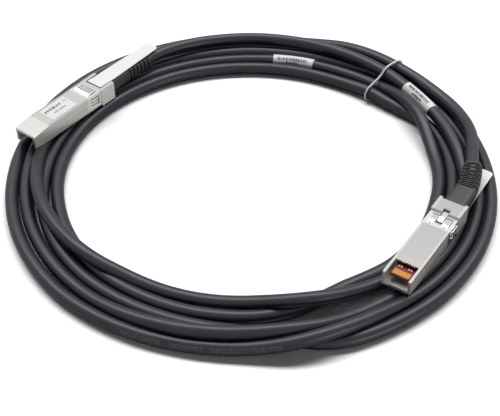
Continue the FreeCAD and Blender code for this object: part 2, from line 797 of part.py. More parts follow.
def pull_tab(end, placement):
    """A flexible strap looped through the slider, running out under the boot to a rounded tip."""
    body = doc.addObject("PartDesign::Body", f"pull_tab_{end}")
    front = "sizes.slider_start - sizes.tab_loop_gap"
    rear = "sizes.slider_start + sizes.slider_length + sizes.tab_loop_gap"
    floor = "sizes.slider_bar_height - 0.15"
    roof = "sizes.slider_bar_height + sizes.slider_bar_thickness + 0.15"
    film = "sizes.tab_film"
    side = outline(body, f"tab_side_{end}", "XZ_Plane", [
        (f"{front} - {film}", f"{floor} - {film}"),
        (f"{rear} + {film}", f"{floor} - {film}"),
        (f"{rear} + 1.5", "sizes.tab_under"),
        ("sizes.tab_end", "sizes.tab_under"),
        ("sizes.tab_end", f"sizes.tab_under + {film}"),
        (f"{rear} + 2", f"sizes.tab_under + {film}"),
        (f"{rear} + {film}", f"{roof} + {film}"),
        (f"{front} - {film}", f"{roof} + {film}"),
    ])
    pad(body, f"tab_strap_{end}", side, "sizes.tab_width")
    eye = rectangle(body, f"tab_eye_side_{end}", "XZ_Plane", front, rear, floor, roof)
    pocket(body, f"tab_eye_{end}", eye, "2 * sizes.tab_width")
    for name, sign in (("left", ""), ("right", "-")):
        taper = outline(body, f"tab_taper_{name}_{end}", "XY_Plane", [
            ("sizes.plug_length + 3", f"{sign}(sizes.tab_width / 2 + 1)"),
            ("sizes.plug_length + 3", f"{sign}(sizes.tab_width / 2)"),
            ("sizes.tab_end - 1.6", f"{sign}(sizes.tab_tip_width / 2)"),
            ("sizes.tab_end - 0.5", f"{sign}(sizes.tab_tip_width / 2 - 0.5)"),
            ("sizes.tab_end", f"{sign}(sizes.tab_tip_width / 2 - 1.6)"),
            ("sizes.tab_end + 1", f"{sign}(sizes.tab_tip_width / 2 - 1.6)"),
            ("sizes.tab_end + 1", f"{sign}(sizes.tab_width / 2 + 1)"),
        ])
        pocket(body, f"tab_edge_{name}_{end}", taper, "sizes.plug_height")
    return finish(body, f"pull_tab_{end}", placement)


# Strain relief boot


def boot_axis(along, bend):
    """Point and heading of the middle of the boot, straight at first and then in an arc."""
    start = size("boot_root")
    straight = size("boot_straight")
    if along <= straight:
        return Vector(start + along, 0, 0), 0.0
    length = size("boot_length") - straight
    turned = math.radians(bend) * (along - straight) / length
    radius = length / math.radians(bend)
    x = start + straight + radius * math.sin(turned)
    return Vector(x, radius * (1 - math.cos(turned)), 0), turned


def boot_size(along):
    """Width, height and middle height of the boot at that distance from its root."""
    part = along / size("boot_length")
    values = []
    for name in ("width", "height", "centre"):
        root = size(f"boot_root_{name}")
        values.append(root + (size(f"boot_tip_{name}") - root) * part)
    return values


def boot_section(along, bend):
    """One rounded section of the boot, square to its middle line."""
    point, turned = boot_axis(along, bend)
    width, height, centre = boot_size(along)
    corner = size("boot_corner")
    spots = []
    for quarter in range(4):
        side = 1 if quarter in (0, 3) else -1
        rise = 1 if quarter in (0, 1) else -1
        for step in range(4):
            turn = math.pi / 2 * (quarter + step / 3)
            spots.append(Vector(
                0,
                side * (width / 2 - corner) + corner * math.cos(turn),
                centre + rise * (height / 2 - corner) + corner * math.sin(turn),
            ))
    wire = Part.makePolygon(spots + [spots[0]])
    wire.Placement = Placement(point, Rotation(Vector(0, 0, 1), math.degrees(turned)))
    return wire


def strain_relief_boot(end, placement):
    """A moulded boot with a flange inside the head and staggered slots that let it bend."""
    bend = size(f"boot_bend_{end}")
    length = size("boot_length")
    solid = Part.makeLoft([boot_section(length * step / 7, bend) for step in range(8)], True, True)
    inside = size("plug_height") + size("head_latch_step") - size("cover_thickness")
    wide = size("boot_root_width") - 0.4
    flange = Part.makeBox(
        size("boot_flange_length") + 0.5, wide, inside - size("boot_flange_height") - size("boot_flange_gap"),
        Vector(size("boot_root") - size("boot_flange_length"), -wide / 2, size("boot_flange_height")),
    )
    solid = solid.fuse(flange)
    cutters = []
    count = int(size("rib_slots"))
    for index in range(2 * count - 1):
        along = size("slot_first") + index * size("slot_pitch") / 2
        point, turned = boot_axis(along, bend)
        width, height, centre = boot_size(along)
        depth = size("slot_depth")
        long = size("slot_width")
        if index % 2:
            reach = height - 2 * size("slot_land")
            boxes = [
                Part.makeBox(long, 3, reach, Vector(-long / 2, width / 2 - depth, centre - reach / 2)),
                Part.makeBox(long, 3, reach, Vector(-long / 2, depth - width / 2 - 3, centre - reach / 2)),
            ]
        else:
            reach = width - 2 * size("slot_land")
            boxes = [
                Part.makeBox(long, reach, 3, Vector(-long / 2, -reach / 2, centre + height / 2 - depth)),
                Part.makeBox(long, reach, 3, Vector(-long / 2, -reach / 2, centre - height / 2 + depth - 3)),
            ]
        for box in boxes:
            box.Placement = Placement(point, Rotation(Vector(0, 0, 1), math.degrees(turned)))
            cutters.append(box)
    boot = doc.addObject("Part::Feature", f"boot_{end}")
    boot.Shape = solid.cut(cutters)
    return finish(boot, f"boot_{end}", placement)


def plug_label(end, placement):
    """The small sticker on the label face."""
    sticker = block(
        f"sticker_{end}", "sizes.sticker_start", "-sizes.sticker_width / 2", "-sizes.sticker_thickness",
        "sizes.sticker_length", "sizes.sticker_width", "sizes.sticker_thickness",
    )
    return carried(f"plug_label_{end}", [sticker], placement)


# Coil, the two ends of cable that leave it, the tie and the wrap labels

# Angle round the coil, inner and outer radius, top of the lower layer of turns, then the inner
# and outer radius and the top of the turns that lie above them, and the height of the underside.
lay_stations = [
    (0, 90.3, 121.8, 6.6, 101.5, 108.5, 9.2, 0),
    (14, 90.4, 121.5, 6.6, 97, 108, 10.6, 0),
    (25, 91.2, 121.2, 6.6, 95, 118, 12.5, 0),
    (35, 90, 120.5, 6.8, 95, 117.5, 12.6, 0.4),
    (45, 88.8, 119.2, 8, 101.5, 116.7, 13.7, 1.6),
    (55, 87.5, 119.4, 6.9, 103.3, 117.2, 13.1, 0.4),
    (70, 86.7, 121.2, 6.5, 105.6, 112.6, 12.7, 0),
    (85, 86.4, 121.5, 6.5, 106.6, 113.4, 12.5, 0),
    (96, 86.5, 121.5, 6.6, 106.8, 113.4, 12, 0),
    (107, 86.8, 121.5, 6.6, 106, 113, 7, 0),
    (120, 87.4, 121.5, 6.6, 103, 110, 6.6, 0),
    (135, 88.3, 121.5, 6.6, 102, 109, 6.6, 0),
    (150, 89.1, 121.3, 6.6, 102, 109, 6.7, 0),
    (166, 89.7, 120.8, 6.6, 101.8, 108.3, 7.8, 0),
    (173, 90, 120.5, 6.6, 101.5, 107.8, 8.2, 0),
    (181, 90.2, 120.3, 6.6, 100.3, 106.8, 11, 0),
    (195, 90.3, 120.4, 6.6, 98.5, 105, 12.6, 0),
    (210, 90.8, 120.3, 6.6, 95.1, 101.8, 12.6, 0),
    (225, 88, 120, 6.6, 91.4, 96.6, 11.4, 0),
    (240, 86.2, 119.5, 6.6, 96, 110, 7.6, 0),
    (255, 85.6, 118.8, 6.6, 104.7, 111.3, 11.7, 0),
    (270, 85.6, 118.6, 6.6, 104.4, 111.2, 12.2, 0),
    (284, 87, 118.6, 6.6, 90.4, 115.4, 12.3, 0),
    (296, 85.8, 122, 6.6, 91, 115, 8.4, 0),
    (306, 86.3, 122.8, 6.5, 95, 108, 6.5, 0),
    (322, 88, 123, 6.5, 98, 106, 6.5, 0),
    (341, 88.7, 122.7, 6.5, 98, 106, 6.5, 0),
    (354, 90, 122, 6.5, 102, 109, 7.4, 0),
]


def coil_section(angle, inner, outer, base, ridge_in, ridge_out, ridge, under):
    """Outer shape of the bundle of turns where it is cut at one angle."""
    grow = size("coil_slack")
    corners = [
        (inner + 1.2, under),
        (inner, under + 1.9),
        (inner, base - 2.2),
        (inner + 1.6, base),
        (ridge_in - 1.6, base),
        (ridge_in, (base + ridge) / 2 + 0.05),
        (ridge_in + 1.4, ridge + 0.1),
        (ridge_out - 1.4, ridge + 0.1),
        (ridge_out, (base + ridge) / 2 + 0.05),
        (min(ridge_out + 1.6, outer - 1.7), base),
        (outer + grow - 1.6, base),
        (outer + grow, base - 2.2),
        (outer + grow, under + 1.9),
        (outer + grow - 1.2, under),
    ]
    turn = math.radians(angle)
    return [Vector(r * math.cos(turn), r * math.sin(turn), z) for r, z in corners]


def cable_coil():
    """The turns of the cable as they lie, as one ring with low spots under the two plugs."""
    rings = [coil_section(*station) for station in lay_stations]
    raised = [number for number, station in enumerate(lay_stations) if station[-1] > 0]
    faces = []
    for number, ring in enumerate(rings):
        after = rings[(number + 1) % len(rings)]
        for side, corner in enumerate(ring):
            beyond = (side + 1) % len(ring)
            lifted = number in raised or (number + 1) % len(rings) in raised
            if beyond == 0 and not lifted:
                continue
            for three in ((corner, ring[beyond], after[beyond]), (corner, after[beyond], after[side])):
                faces.append(Part.Face(Part.makePolygon([*three, three[0]])))
    resting = rings[raised[-1] + 1:] + rings[:raised[0]]
    underside = [ring[0] for ring in resting] + [ring[-1] for ring in reversed(resting)]
    faces.append(Part.Face(Part.makePolygon([*underside, underside[0]])))
    shell = Part.Shell(faces)
    shell.sewShape()
    solid = Part.Solid(shell)
    if solid.Volume < 0:
        solid.reverse()
    coil = doc.addObject("Part::Feature", "cable_coil")
    coil.Shape = solid
    return finish(coil, "cable_coil")


def boot_end(end):
    """Middle of the boot's end face and the direction in which the cable leaves it."""
    bend = size(f"boot_bend_{end}")
    length = size("boot_length")
    point, turned = boot_axis(length, bend)
    point.z = boot_size(length)[2]
    placement = ends[end]
    ahead = placement.Rotation.multVec(Vector(math.cos(turned), math.sin(turned), 0))
    return placement.multVec(point), ahead


def cable_tail(end, onto, bends):
    """The end of cable from a boot to the place where it joins the coil.

    Each bend is a share of the way there, of that way sideways, and of the drop."""
    start, ahead = boot_end(end)
    way = Vector(*onto) - start
    left = Vector(-way.y, way.x, 0)
    points = [start, start + ahead * 8]
    for along, aside, drop in bends:
        points.append(start + Vector(way.x, way.y, 0) * along + left * aside + Vector(0, 0, way.z * drop))
    points.append(Vector(*onto))
    print(f"cable_tail_{end} route", [tuple(round(v, 2) for v in point) for point in points])
    shape, length, radii = tube(points, size("cable_diameter") / 2, 12)
    print(f"cable_tail_{end} length", round(length, 1), "radii", [round(r, 1) for r in radii])
    print("volume", round(shape.Volume), "section times length",
          round(3 * size("cable_diameter") ** 2 / 4 * length))
    tail = doc.addObject("Part::Feature", f"cable_tail_{end}")
    tail.Shape = shape
    return finish(tail, f"cable_tail_{end}")


def wire_tie():
    """A thin tie wound once round all the turns."""
    radius = size("tie_diameter") / 2
    station = [s for s in lay_stations if s[0] == size("tie_angle")][0]
    angle, inner, outer, base, ridge_in, ridge_out, ridge, under = station
    off = radius + size("tie_clearance")
    wide = outer + size("coil_slack") + off
    section = [
        (104, radius),
        (wide - 1.5, radius),
        (wide, radius + 2.2),
        (wide, base - 0.8),
        (ridge_out + off, ridge + off - 1.6),
        (ridge_out - 1.6, ridge + 0.1 + off),
        (ridge_in + 1.2, ridge + 0.1 + off),
        (ridge_in - off, (base + ridge) / 2 + off + 0.2),
        (inner + 1.8, base + off + 0.4),
        (inner - off, base - 2),
        (inner - off, radius + 2),
        (inner + 1.5, radius),
        (104, radius),
    ]
    turn = math.radians(angle)
    points = [Vector(r * math.cos(turn), r * math.sin(turn), z) for r, z in section]
    shape, length, radii = tube(points, radius, 8)
    print("wire_tie length", round(length, 1))
    tie = doc.addObject("Part::Feature", "wire_tie")
    tie.Shape = shape
    return finish(tie, "wire_tie")


def wrap_label(number, route):
    """A label wrapped round one turn of the cable."""
    outside = size("cable_diameter") / 2 + size("wrap_label_thickness")
    points = [Vector(*point) for point in route]
    shape = tube(points, outside, 12)[0].cut(tube(points, size("cable_diameter") / 2, 12)[0])
    label = doc.addObject("Part::Feature", f"cable_label_{number}")
    label.Shape = shape
    return finish(label, f"cable_label_{number}")


for end, placement in ends.items():
    base_shell(end, placement)
    cover_plate(end, placement)
    emi_collar(end, placement)
    circuit_board(end, placement)
    board_parts(end, placement)
    wire_pairs(end, placement)
    crimp_ferrule(end, placement)
    latch(end, placement)
    latch_pin(end, placement)
    slider(end, placement)
    pull_tab(end, placement)
    strain_relief_boot(end, placement)
    plug_label(end, placement)

cable_coil()
cable_tail("a", (-5.6, 109.9, 9.2), [(0.351, 0.087, 0.33), (0.579, 0.094, 0.69), (0.796, 0.059, 0.88)])
cable_tail("b", (104.6, 48.6, 9.2), [(0.333, -0.072, 0.24), (0.543, -0.1, 0.55), (0.777, -0.071, 0.8)])
wire_tie()
wrap_label(1, [(13.6, 96.8, 3.5), (21.6, 95.8, 3.5), (29.3, 93.9, 3.5), (36.9, 91.3, 3.5)])
wrap_label(2, [(96.2, 39.8, 9.1), (92.7, 47.2, 9.2), (88.3, 55.1, 9.5), (83.2, 62.7, 9.9)])

doc.recompute()
for item in doc.Objects:
    if {"Invalid", "Error"} & set(item.State):
        raise RuntimeError(f"{item.Name} is {item.State}")
os.makedirs("parts", exist_ok=True)
whole = FreeCAD.BoundBox()
for piece in finished:
    shape = piece.Shape
    if shape.isNull() or not shape.isValid():
        raise RuntimeError(f"{piece.Label} has no valid shape")
    whole.add(shape.BoundBox)
    print(piece.Label, len(shape.Solids), round(shape.Volume, 2))
    shape.exportStep(f"parts/{piece.Label}.step")
print("whole box", whole)
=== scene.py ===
import math
import random

import bmesh
import bpy
from mathutils import Matrix, Vector, noise


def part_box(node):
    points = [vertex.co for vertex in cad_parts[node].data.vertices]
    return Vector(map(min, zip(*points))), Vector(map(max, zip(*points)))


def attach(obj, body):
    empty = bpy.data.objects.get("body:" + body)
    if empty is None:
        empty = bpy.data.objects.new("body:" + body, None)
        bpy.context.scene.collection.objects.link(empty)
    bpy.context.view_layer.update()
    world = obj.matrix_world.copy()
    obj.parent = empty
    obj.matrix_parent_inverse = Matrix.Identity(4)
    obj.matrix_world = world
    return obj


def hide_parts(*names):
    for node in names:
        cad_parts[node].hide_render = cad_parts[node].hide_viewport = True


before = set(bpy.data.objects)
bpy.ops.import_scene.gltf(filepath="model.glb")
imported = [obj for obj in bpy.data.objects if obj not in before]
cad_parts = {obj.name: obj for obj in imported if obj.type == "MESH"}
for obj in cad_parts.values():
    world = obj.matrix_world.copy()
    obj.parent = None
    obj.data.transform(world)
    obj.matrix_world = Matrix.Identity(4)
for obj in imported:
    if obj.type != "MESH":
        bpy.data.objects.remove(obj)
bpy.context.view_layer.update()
scene = bpy.context.scene
scene.view_settings.view_transform = "Standard"

# Camera: the view from in front of the coil and 42 degrees above it, with a long lens, so that
# the ring of turns fills the frame from edge to edge.
camera_data = bpy.data.cameras.new("camera")
camera_data.sensor_width = 36.0
camera_data.lens = 78.12
camera = bpy.data.objects.new("camera", camera_data)
camera.location = (0.0005, -0.409, 0.3478)
camera.rotation_euler = (math.radians(48), 0, 0)
scene.collection.objects.link(camera)
scene.camera = camera


# Cable: two screened wire pairs in a satin black jacket, from the first plug's boot through a little
# over five loose turns that cross and climb over each other to the second plug's boot. The lay gives
# angle, radius and height in degrees and millimetres, going round clockwise.
lay_of_turns = [
    (90, 110.2, 9.2), (75, 109.6, 9.2), (60, 107.8, 9.6), (52, 106, 10.3), (45, 104.9, 10.6),
    (37, 104.2, 9.8), (30, 104, 9.2), (15, 104.2, 8.7), (8, 104.6, 8), (0, 105.2, 6.2),
    (-5, 105.8, 4.7), (-12, 105.7, 3.6), (-30, 105.6, 3.25), (-45, 105.6, 3.25), (-60, 105.3, 3.3),
    (-65, 106.2, 4.5), (-70, 107.6, 6.2), (-75, 109.3, 8.4), (-79, 109.9, 9.5), (-83, 109.8, 9.7),
    (-90, 109.8, 8.9), (-105, 110.7, 7.95), (-112, 110.4, 6.9), (-120, 109.9, 5.0),
    (-130, 109.4, 3.25), (-150, 108.7, 3.25), (-165, 108.6, 3.25), (-180, 109, 3.25),
    (-195, 110.2, 3.25), (-210, 111.7, 3.25), (-240, 111.6, 3.25), (-285, 111.8, 3.25),
    (-300, 112.6, 3.25), (-308, 114, 3.7), (-315, 115.8, 4.65), (-323, 117, 3.7),
    (-330, 117.5, 3.25), (-345, 117.2, 3.25), (-360, 117.2, 3.25), (-375, 117.8, 3.25),
    (-390, 118.3, 3.25), (-405, 118.2, 3.25), (-420, 117.4, 3.25), (-428, 117.2, 3.25),
    (-431, 116.6, 3.25), (-435, 114.6, 3.25), (-442, 109, 3.25), (-450, 104.4, 3.25),
    (-465, 103.4, 3.25), (-480, 103, 3.25), (-495, 102.8, 3.25), (-510, 102, 3.25),
    (-525, 101.1, 3.25), (-540, 100, 3.25), (-555, 99.2, 3.25), (-570, 98.9, 3.25),
    (-585, 98.2, 3.25), (-600, 97.6, 3.25), (-615, 97.2, 3.3), (-630, 97.2, 3.4), (-645, 98.4, 3.4),
    (-660, 98.6, 3.5), (-668, 98.8, 4.2), (-675, 98.8, 5.0), (-680, 98.6, 6.4), (-685, 98, 8.4),
    (-690, 97, 9.6), (-695, 95.9, 9.8), (-700, 94.8, 8.8), (-704, 94, 7), (-708, 93.6, 5.2),
    (-714, 93.4, 3.6), (-720, 93.6, 3.25), (-735, 92, 3.25), (-750, 91.5, 3.25), (-765, 91.2, 3.25),
    (-780, 88.6, 3.25), (-785, 89.2, 3.25), (-790, 91, 3.25), (-795, 93.2, 3.25),
    (-803, 95.5, 3.25), (-810, 96.3, 3.25), (-825, 96.6, 3.25), (-840, 96.2, 3.25),
    (-855, 95.9, 3.25), (-870, 94.8, 3.25), (-885, 93.9, 3.25), (-900, 93.5, 3.25),
    (-915, 92.9, 3.25), (-930, 92.4, 3.25), (-945, 91.6, 3.25), (-960, 90.8, 3.25),
    (-975, 90, 3.25), (-990, 89.6, 3.25), (-1005, 90, 3.25), (-1020, 90.2, 3.25),
    (-1028, 91.2, 3.7), (-1035, 92, 4.65), (-1043, 92.6, 3.7), (-1050, 96.3, 3.25),
    (-1056, 99.6, 3.25), (-1062, 100.9, 3.25), (-1070, 100.6, 3.25), (-1080, 99.9, 3.25),
    (-1095, 98.8, 3.25), (-1110, 98.4, 3.25), (-1125, 97.2, 3.25), (-1136, 95, 4),
    (-1141, 94.8, 5.5), (-1146, 95, 7.2), (-1150, 95.3, 8.8), (-1155, 94.7, 9.5),
    (-1160, 93.8, 9.3), (-1165, 90.4, 6.4), (-1170, 88.5, 4), (-1185, 88.7, 3.25),
    (-1195, 89.3, 3.4), (-1202, 90.2, 4.2), (-1208, 91.9, 6), (-1215, 95.2, 8.4),
    (-1222, 97.3, 9.6), (-1230, 98.9, 9.4), (-1238, 100.6, 9.6), (-1246, 102, 9.4),
    (-1254, 103, 8.6), (-1260, 103.6, 7.8), (-1266, 104.6, 5.7), (-1272, 104.9, 4.8),
    (-1280, 105.1, 4.1), (-1290, 105.3, 3.5), (-1305, 105, 3.25), (-1320, 104.7, 3.25),
    (-1335, 104.6, 3.25), (-1350, 105, 3.25), (-1365, 105.4, 3.25), (-1380, 106.4, 3.25),
    (-1388, 107.8, 3.7), (-1395, 109.2, 4.65), (-1403, 110.4, 3.7), (-1410, 111.2, 3.25),
    (-1425, 112, 3.25), (-1440, 111.5, 3.25), (-1455, 111.7, 3.25), (-1470, 112, 3.25),
    (-1485, 111.6, 3.5), (-1490, 111.4, 3.8), (-1495, 111.1, 5.2), (-1500, 111.8, 6.6),
    (-1506, 113.2, 8.2), (-1511, 114.7, 9.2), (-1516, 116, 9.4), (-1520, 116.4, 8.6),
    (-1525, 115.3, 6.2), (-1530, 114.4, 4.2), (-1545, 115, 3.25), (-1560, 116, 3.25),
    (-1575, 116.6, 3.25), (-1590, 115.9, 3.25), (-1605, 115.5, 3.25), (-1620, 115.4, 3.25),
    (-1635, 116.2, 3.25), (-1650, 117.3, 3.25), (-1665, 118.2, 3.25), (-1725, 118.2, 3.25),
    (-1730, 117.8, 4.6), (-1735, 116.8, 7.2), (-1740, 115.6, 9), (-1748, 114.2, 10.2),
    (-1755, 113.3, 10.5), (-1763, 113.8, 9.8), (-1770, 114.4, 9.2),
]
tail_of_first_plug = [
    (-54.66, 86.34, 11.75), (-48.93, 91.91, 11.75), (-39.5, 98.9, 10.9), (-28.5, 104.6, 10.0),
    (-17, 108, 9.5), (-5.6, 109.9, 9.2),
]
tail_of_second_plug = [
    (104.6, 48.6, 9.2), (109.2, 36.5, 9.9), (111.5, 23.7, 10.8), (110.6, 12, 11.9),
    (108.7, 1.34, 12.75), (107.67, -6.59, 12.75),
]
cable_diameter = 0.0065
first_degree, last_degree, step_round = 87, -1768, 6


def lay_at(turned):
    """Radius and height of the lay at one angle along the cable."""
    for here, there in zip(lay_of_turns, lay_of_turns[1:]):
        if there[0] <= turned <= here[0]:
            share = (here[0] - turned) / (here[0] - there[0])
            return here[1] + (there[1] - here[1]) * share, here[2] + (there[2] - here[2]) * share


cable_route = [Vector(point) / 1000 for point in tail_of_first_plug]
for turned in range(first_degree, last_degree, -step_round):
    radius, height = lay_at(turned)
    angle = math.radians(turned)
    cable_route.append(Vector((radius * math.cos(angle), radius * math.sin(angle), height)) / 1000)
cable_route += [Vector(point) / 1000 for point in tail_of_second_plug]

cable_line = bpy.data.curves.new("cable", "CURVE")
cable_line.dimensions = "3D"
cable_line.resolution_u = 4
cable_spline = cable_line.splines.new("NURBS")
cable_spline.points.add(len(cable_route) - 1)
for spot, place in zip(cable_spline.points, cable_route):
    spot.co = (*place, 1)
    spot.radius = cable_diameter / 2
cable_spline.order_u = 3
cable_spline.use_endpoint_u = True
cable = bpy.data.objects.new("cable", cable_line)
scene.collection.objects.link(cable)
bpy.context.view_layer.update()
line_mesh = bpy.data.meshes.new_from_object(cable)
cable_points = [vertex.co.copy() for vertex in line_mesh.vertices]
cable_line.bevel_depth = 1
cable_line.bevel_resolution = 6
cable_line.use_fill_caps = True
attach(cable, "cable")
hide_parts("cable_coil", "cable_tail_a", "cable_tail_b")


def grain_group():
    """Fine grain and slow mottling of a moulded or extruded skin, the same way up all over it."""
    group = bpy.data.node_groups.new("skin_grain", "ShaderNodeTree")
    face = group.interface
    face.new_socket("Grain Size", in_out="INPUT", socket_type="NodeSocketFloat").default_value = 2500
    face.new_socket("Mottle Size", in_out="INPUT", socket_type="NodeSocketFloat").default_value = 60
    face.new_socket("Grain", in_out="OUTPUT", socket_type="NodeSocketFloat")
    face.new_socket("Mottle", in_out="OUTPUT", socket_type="NodeSocketFloat")
    nodes, links = group.nodes, group.links
    inside, outside = nodes.new("NodeGroupInput"), nodes.new("NodeGroupOutput")
    where = nodes.new("ShaderNodeTexCoord")
    fine, slow = nodes.new("ShaderNodeTexNoise"), nodes.new("ShaderNodeTexNoise")
    fine.inputs["Detail"].default_value = 3
    slow.inputs["Detail"].default_value = 4
    slow.inputs["Roughness"].default_value = 0.6
    for texture, name in ((fine, "Grain Size"), (slow, "Mottle Size")):
        links.new(where.outputs["Object"], texture.inputs["Vector"])
        links.new(inside.outputs[name], texture.inputs["Scale"])
    links.new(fine.outputs["Fac"], outside.inputs["Grain"])
    links.new(slow.outputs["Fac"], outside.inputs["Mottle"])
    return group


def edge_group():
    """Lighter edges on a hard piece, part handling wear and part painted edge highlight: 1 on its
    edges, 0 on its flats, broken up by noise.
    """
    group = bpy.data.node_groups.new("edge_wear_and_highlight", "ShaderNodeTree")
    face = group.interface
    face.new_socket("Reach", in_out="INPUT", socket_type="NodeSocketFloat").default_value = 0.0002
    face.new_socket("Wear And Highlight", in_out="OUTPUT", socket_type="NodeSocketFloat")
    nodes, links = group.nodes, group.links
    inside, outside = nodes.new("NodeGroupInput"), nodes.new("NodeGroupOutput")
    rounded, flat = nodes.new("ShaderNodeBevel"), nodes.new("ShaderNodeNewGeometry")
    rounded.samples = 4
    links.new(inside.outputs["Reach"], rounded.inputs["Radius"])
    agree = nodes.new("ShaderNodeVectorMath")
    agree.operation = "DOT_PRODUCT"
    links.new(rounded.outputs["Normal"], agree.inputs[0])
    links.new(flat.outputs["Normal"], agree.inputs[1])
    bend = nodes.new("ShaderNodeMapRange")
    bend.inputs["From Min"].default_value = 0.99
    bend.inputs["From Max"].default_value = 0.9
    links.new(agree.outputs["Value"], bend.inputs["Value"])
    where, patchy = nodes.new("ShaderNodeTexCoord"), nodes.new("ShaderNodeTexNoise")
    patchy.inputs["Scale"].default_value = 700
    links.new(where.outputs["Object"], patchy.inputs["Vector"])
    broken = nodes.new("ShaderNodeMath")
    broken.operation = "MULTIPLY"
    links.new(bend.outputs["Result"], broken.inputs[0])
    links.new(patchy.outputs["Fac"], broken.inputs[1])
    links.new(broken.outputs[0], outside.inputs["Wear And Highlight"])
    return group


skin_grain = grain_group()
edge_wear_and_highlight = edge_group()


def ranged(nodes, links, source, low, high):
    """A value that goes from low to high over the part of its range that noise mostly fills."""
    node = nodes.new("ShaderNodeMapRange")
    node.inputs["From Min"].default_value = 0.3
    node.inputs["From Max"].default_value = 0.7
    node.inputs["To Min"].default_value = low
    node.inputs["To Max"].default_value = high
    links.new(source, node.inputs["Value"])
    return node.outputs["Result"]


def mixed(nodes, links, share, first, second):
    """One colour painted over another by a mask."""
    node = nodes.new("ShaderNodeMix")
    node.data_type = "RGBA"
    links.new(share, node.inputs["Factor"])
    for socket, colour in ((node.inputs["A"], first), (node.inputs["B"], second)):
        if isinstance(colour, bpy.types.NodeSocket):
            links.new(colour, socket)
        else:
            socket.default_value = (*colour, 1)
    return node.outputs["Result"]


def skin_finish(
    name, colour, worn, rough, grain, mottle, depth, shine=0.5, metal=0.0, edge_reach=0.0, edge_wear_and_highlight_colour=None,
):
    """A material with grain in its bump, mottling in its colour and roughness, and edges painted
    lighter, part rubbed wear and part painted highlight.
    """
    material = bpy.data.materials.new(name)
    material.use_nodes = True
    nodes, links = material.node_tree.nodes, material.node_tree.links
    skin = nodes["Principled BSDF"]
    skin.inputs["Metallic"].default_value = metal
    skin.inputs["Specular IOR Level"].default_value = shine
    pattern = nodes.new("ShaderNodeGroup")
    pattern.node_tree = skin_grain
    pattern.inputs["Grain Size"].default_value = grain
    pattern.inputs["Mottle Size"].default_value = mottle
    shade = mixed(nodes, links, ranged(nodes, links, pattern.outputs["Mottle"], 0, 1), colour, worn)
    # The edges are painted a lighter colour, as handling wear and as a painted edge highlight.
    if edge_reach:
        edges = nodes.new("ShaderNodeGroup")
        edges.node_tree = edge_wear_and_highlight
        edges.inputs["Reach"].default_value = edge_reach
        shade = mixed(nodes, links, edges.outputs["Wear And Highlight"], shade, edge_wear_and_highlight_colour)
    links.new(shade, skin.inputs["Base Color"])
    uneven = ranged(nodes, links, pattern.outputs["Mottle"], rough * 0.95, rough * 1.06)
    links.new(uneven, skin.inputs["Roughness"])
    bump = nodes.new("ShaderNodeBump")
    bump.inputs["Strength"].default_value = 0.5
    bump.inputs["Distance"].default_value = depth
    links.new(pattern.outputs["Grain"], bump.inputs["Height"])
    links.new(bump.outputs["Normal"], skin.inputs["Normal"])
    return material


def dress(name, material):
    """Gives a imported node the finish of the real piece."""
    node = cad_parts[name]
    if not node.material_slots:
        node.data.materials.append(material)
    for place in node.material_slots:
        place.material = material


jacket_satin = skin_finish(
    "jacket_satin", (0.006, 0.006, 0.008), (0.012, 0.012, 0.015),
    rough=0.4, grain=1400, mottle=90, depth=0.00009, shine=0.52,
)
jacket_skin = jacket_satin.node_tree.nodes["Principled BSDF"]
jacket_skin.inputs["Specular Tint"].default_value = (0.86, 0.88, 1, 1)
cable_line.materials.append(jacket_satin)


def built(name, corners, faces, finish, body, smooth=True):
    """A mesh piece with its finish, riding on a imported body."""
    mesh = bpy.data.meshes.new(name)
    mesh.from_pydata([tuple(corner) for corner in corners], [], faces)
    mesh.materials.append(finish)
    mesh.update()
    work = bmesh.new()
    work.from_mesh(mesh)
    bmesh.ops.recalc_face_normals(work, faces=work.faces)
    work.to_mesh(mesh)
    work.free()
    for face in mesh.polygons:
        face.use_smooth = smooth
    piece = bpy.data.objects.new(name, mesh)
    scene.collection.objects.link(piece)
    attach(piece, body)
    return piece


def swept_faces(rings, around):
    """Faces of a skin through rings of as many corners each, with both ends closed."""
    faces = [tuple(range(around)), tuple((rings - 1) * around + i for i in range(around))]
    for ring in range(rings - 1):
        for i in range(around):
            beside = (i + 1) % around
            faces.append((ring * around + i, ring * around + beside,
                          (ring + 1) * around + beside, (ring + 1) * around + i))
    return faces


# Tie: one thin clear plastic thread wound once round the whole bundle near the second label, drawn
# snug over the upper turns. Radius and height in millimetres, at 45 degrees round the coil.
tie_plastic = skin_finish(
    "tie_plastic", (0.78, 0.78, 0.77), (0.66, 0.66, 0.66),
    rough=0.3, grain=1800, mottle=200, depth=0.00002,
)
tie_loop = [
    (104, 0.75), (112, 0.75), (118.6, 0.85), (120.2, 3), (120, 6.4), (117.8, 10.5), (115.6, 14.1),
    (110, 14.9), (103, 14.7), (100.2, 11.4), (94, 9.4), (89.4, 8.2), (87.7, 5.4), (87.7, 2.6),
    (89.8, 0.85), (96, 0.75),
]
tie_angle = math.radians(45)
tie_radius = 0.00055
tie_line = bpy.data.curves.new("tie", "CURVE")
tie_line.dimensions = "3D"
tie_line.resolution_u = 5
tie_line.bevel_depth = tie_radius
tie_line.bevel_resolution = 3
tie_spline = tie_line.splines.new("NURBS")
tie_spline.points.add(len(tie_loop) - 1)
for spot, (radius, height) in zip(tie_spline.points, tie_loop):
    across = radius * math.cos(tie_angle) / 1000
    spot.co = (across, across, height / 1000, 1)
tie_spline.order_u = 3
tie_spline.use_cyclic_u = True
tie_line.materials.append(tie_plastic)
tie = bpy.data.objects.new("tie", tie_line)
scene.collection.objects.link(tie)
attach(tie, "cable")
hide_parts("wire_tie")

